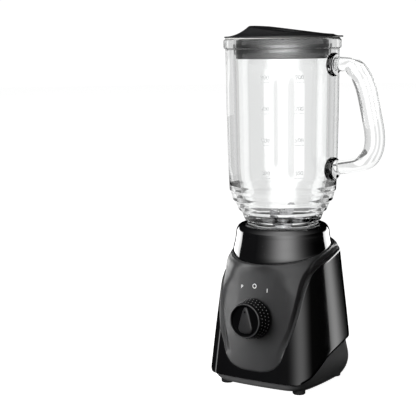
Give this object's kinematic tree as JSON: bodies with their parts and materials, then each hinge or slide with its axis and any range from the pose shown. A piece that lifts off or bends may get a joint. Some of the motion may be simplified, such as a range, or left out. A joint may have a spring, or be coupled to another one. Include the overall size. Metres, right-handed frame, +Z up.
{
  "type": "countertop blender",
  "caption": "Countertop blender: tapering motor base with a front switch knob, lift-off glass jar with handle and pour lip, driven blades, lid and lift-out filler cap.",
  "frame": {"origin": "on the motor axis, at the surface the feet stand on", "axes": "+Z up along the motor axis, -Y towards the knob, +X towards the jar handle"},
  "size_m": [0.1801, 0.1349, 0.3616],
  "materials": {
    "gloss_black": "polished gloss black moulding",
    "matte_charcoal": "fine matte charcoal moulding",
    "foot_rubber": "soft matte rubber",
    "lid_black": "satin dark grey moulding",
    "knob_black": "satin black with grip dots",
    "pointer_grey": "matte dark grey",
    "clear_glass": "clear pressed glass",
    "stainless": "brushed stainless",
    "steel": "zinc-plated steel",
    "black_plastic": "moulded black plastic",
    "lamination": "stacked steel laminations",
    "copper": "enamelled copper",
    "bronze": "sintered bronze",
    "carbon": "pressed carbon"
  },
  "bodies": {
    "base": {"main_housing": "gloss_black", "front_apron": "matte_charcoal", "seat_collar": "gloss_black", "bottom_plinth": "matte_charcoal", "rubber_feet": "foot_rubber", "plinth_screws": "steel", "cord_gland": "foot_rubber", "stator_core": "lamination", "field_coils": "copper", "upper_bracket": "black_plastic", "upper_bearing": "bronze", "lower_bracket": "black_plastic", "lower_bearing": "bronze", "motor_bolts": "steel", "bolt_sleeves": "steel", "motor_dampers": "foot_rubber", "damper_screws": "steel", "brush_holders": "bronze", "carbon_brushes": "carbon", "brush_springs": "steel", "shaft_seal": "foot_rubber", "switch_body": "black_plastic", "switch_nut": "steel"},
    "rotor": {"motor_shaft": "steel", "armature_core": "lamination", "armature_windings": "copper", "commutator": "copper", "cooling_fan": "black_plastic", "drive_coupling": "black_plastic"},
    "knob": {"knob_cap": "knob_black", "knob_pointer": "pointer_grey", "switch_spindle": "steel"},
    "jar": {"glass_jar": "clear_glass", "glass_handle": "clear_glass", "blade_collar": "black_plastic", "blade_seat": "stainless", "shaft_bush": "bronze", "jar_gasket": "foot_rubber"},
    "blades": {"blade_shaft": "stainless", "lower_blade": "stainless", "upper_blade": "stainless", "blade_nut": "stainless", "blade_spacer": "stainless", "driven_coupling": "black_plastic"},
    "lid": {"lid": "lid_black", "lid_seal": "foot_rubber"},
    "cap": {"filler_cap": "lid_black"}
  },
  "joints": [
    {"name": "motor_spin", "type": "hinge", "parent": "base", "child": "rotor", "pos_m": [0, 0, 0.075], "axis": [0, 0, 1], "continuous": true},
    {"name": "knob_turn", "type": "hinge", "parent": "base", "child": "knob", "pos_m": [0, -0.0561, 0.0745], "axis": [0, -0.9994, 0.0349], "range_deg": [-28, 28]},
    {"name": "jar_lift", "type": "slide", "parent": "base", "child": "jar", "axis": [0, 0, 1], "range_m": [0, 0.12]},
    {"name": "blade_spin", "type": "hinge", "parent": "jar", "child": "blades", "pos_m": [0, 0, 0.16], "axis": [0, 0, 1], "continuous": true},
    {"name": "lid_lift", "type": "slide", "parent": "jar", "child": "lid", "axis": [0, 0, 1], "range_m": [0, 0.05]},
    {"name": "cap_lift", "type": "slide", "parent": "lid", "child": "cap", "axis": [0, 0, 1], "range_m": [0, 0.045]}
  ],
  "couplings": [
    {"joint": "blade_spin", "follows": "motor_spin", "ratio": 1}
  ]
}
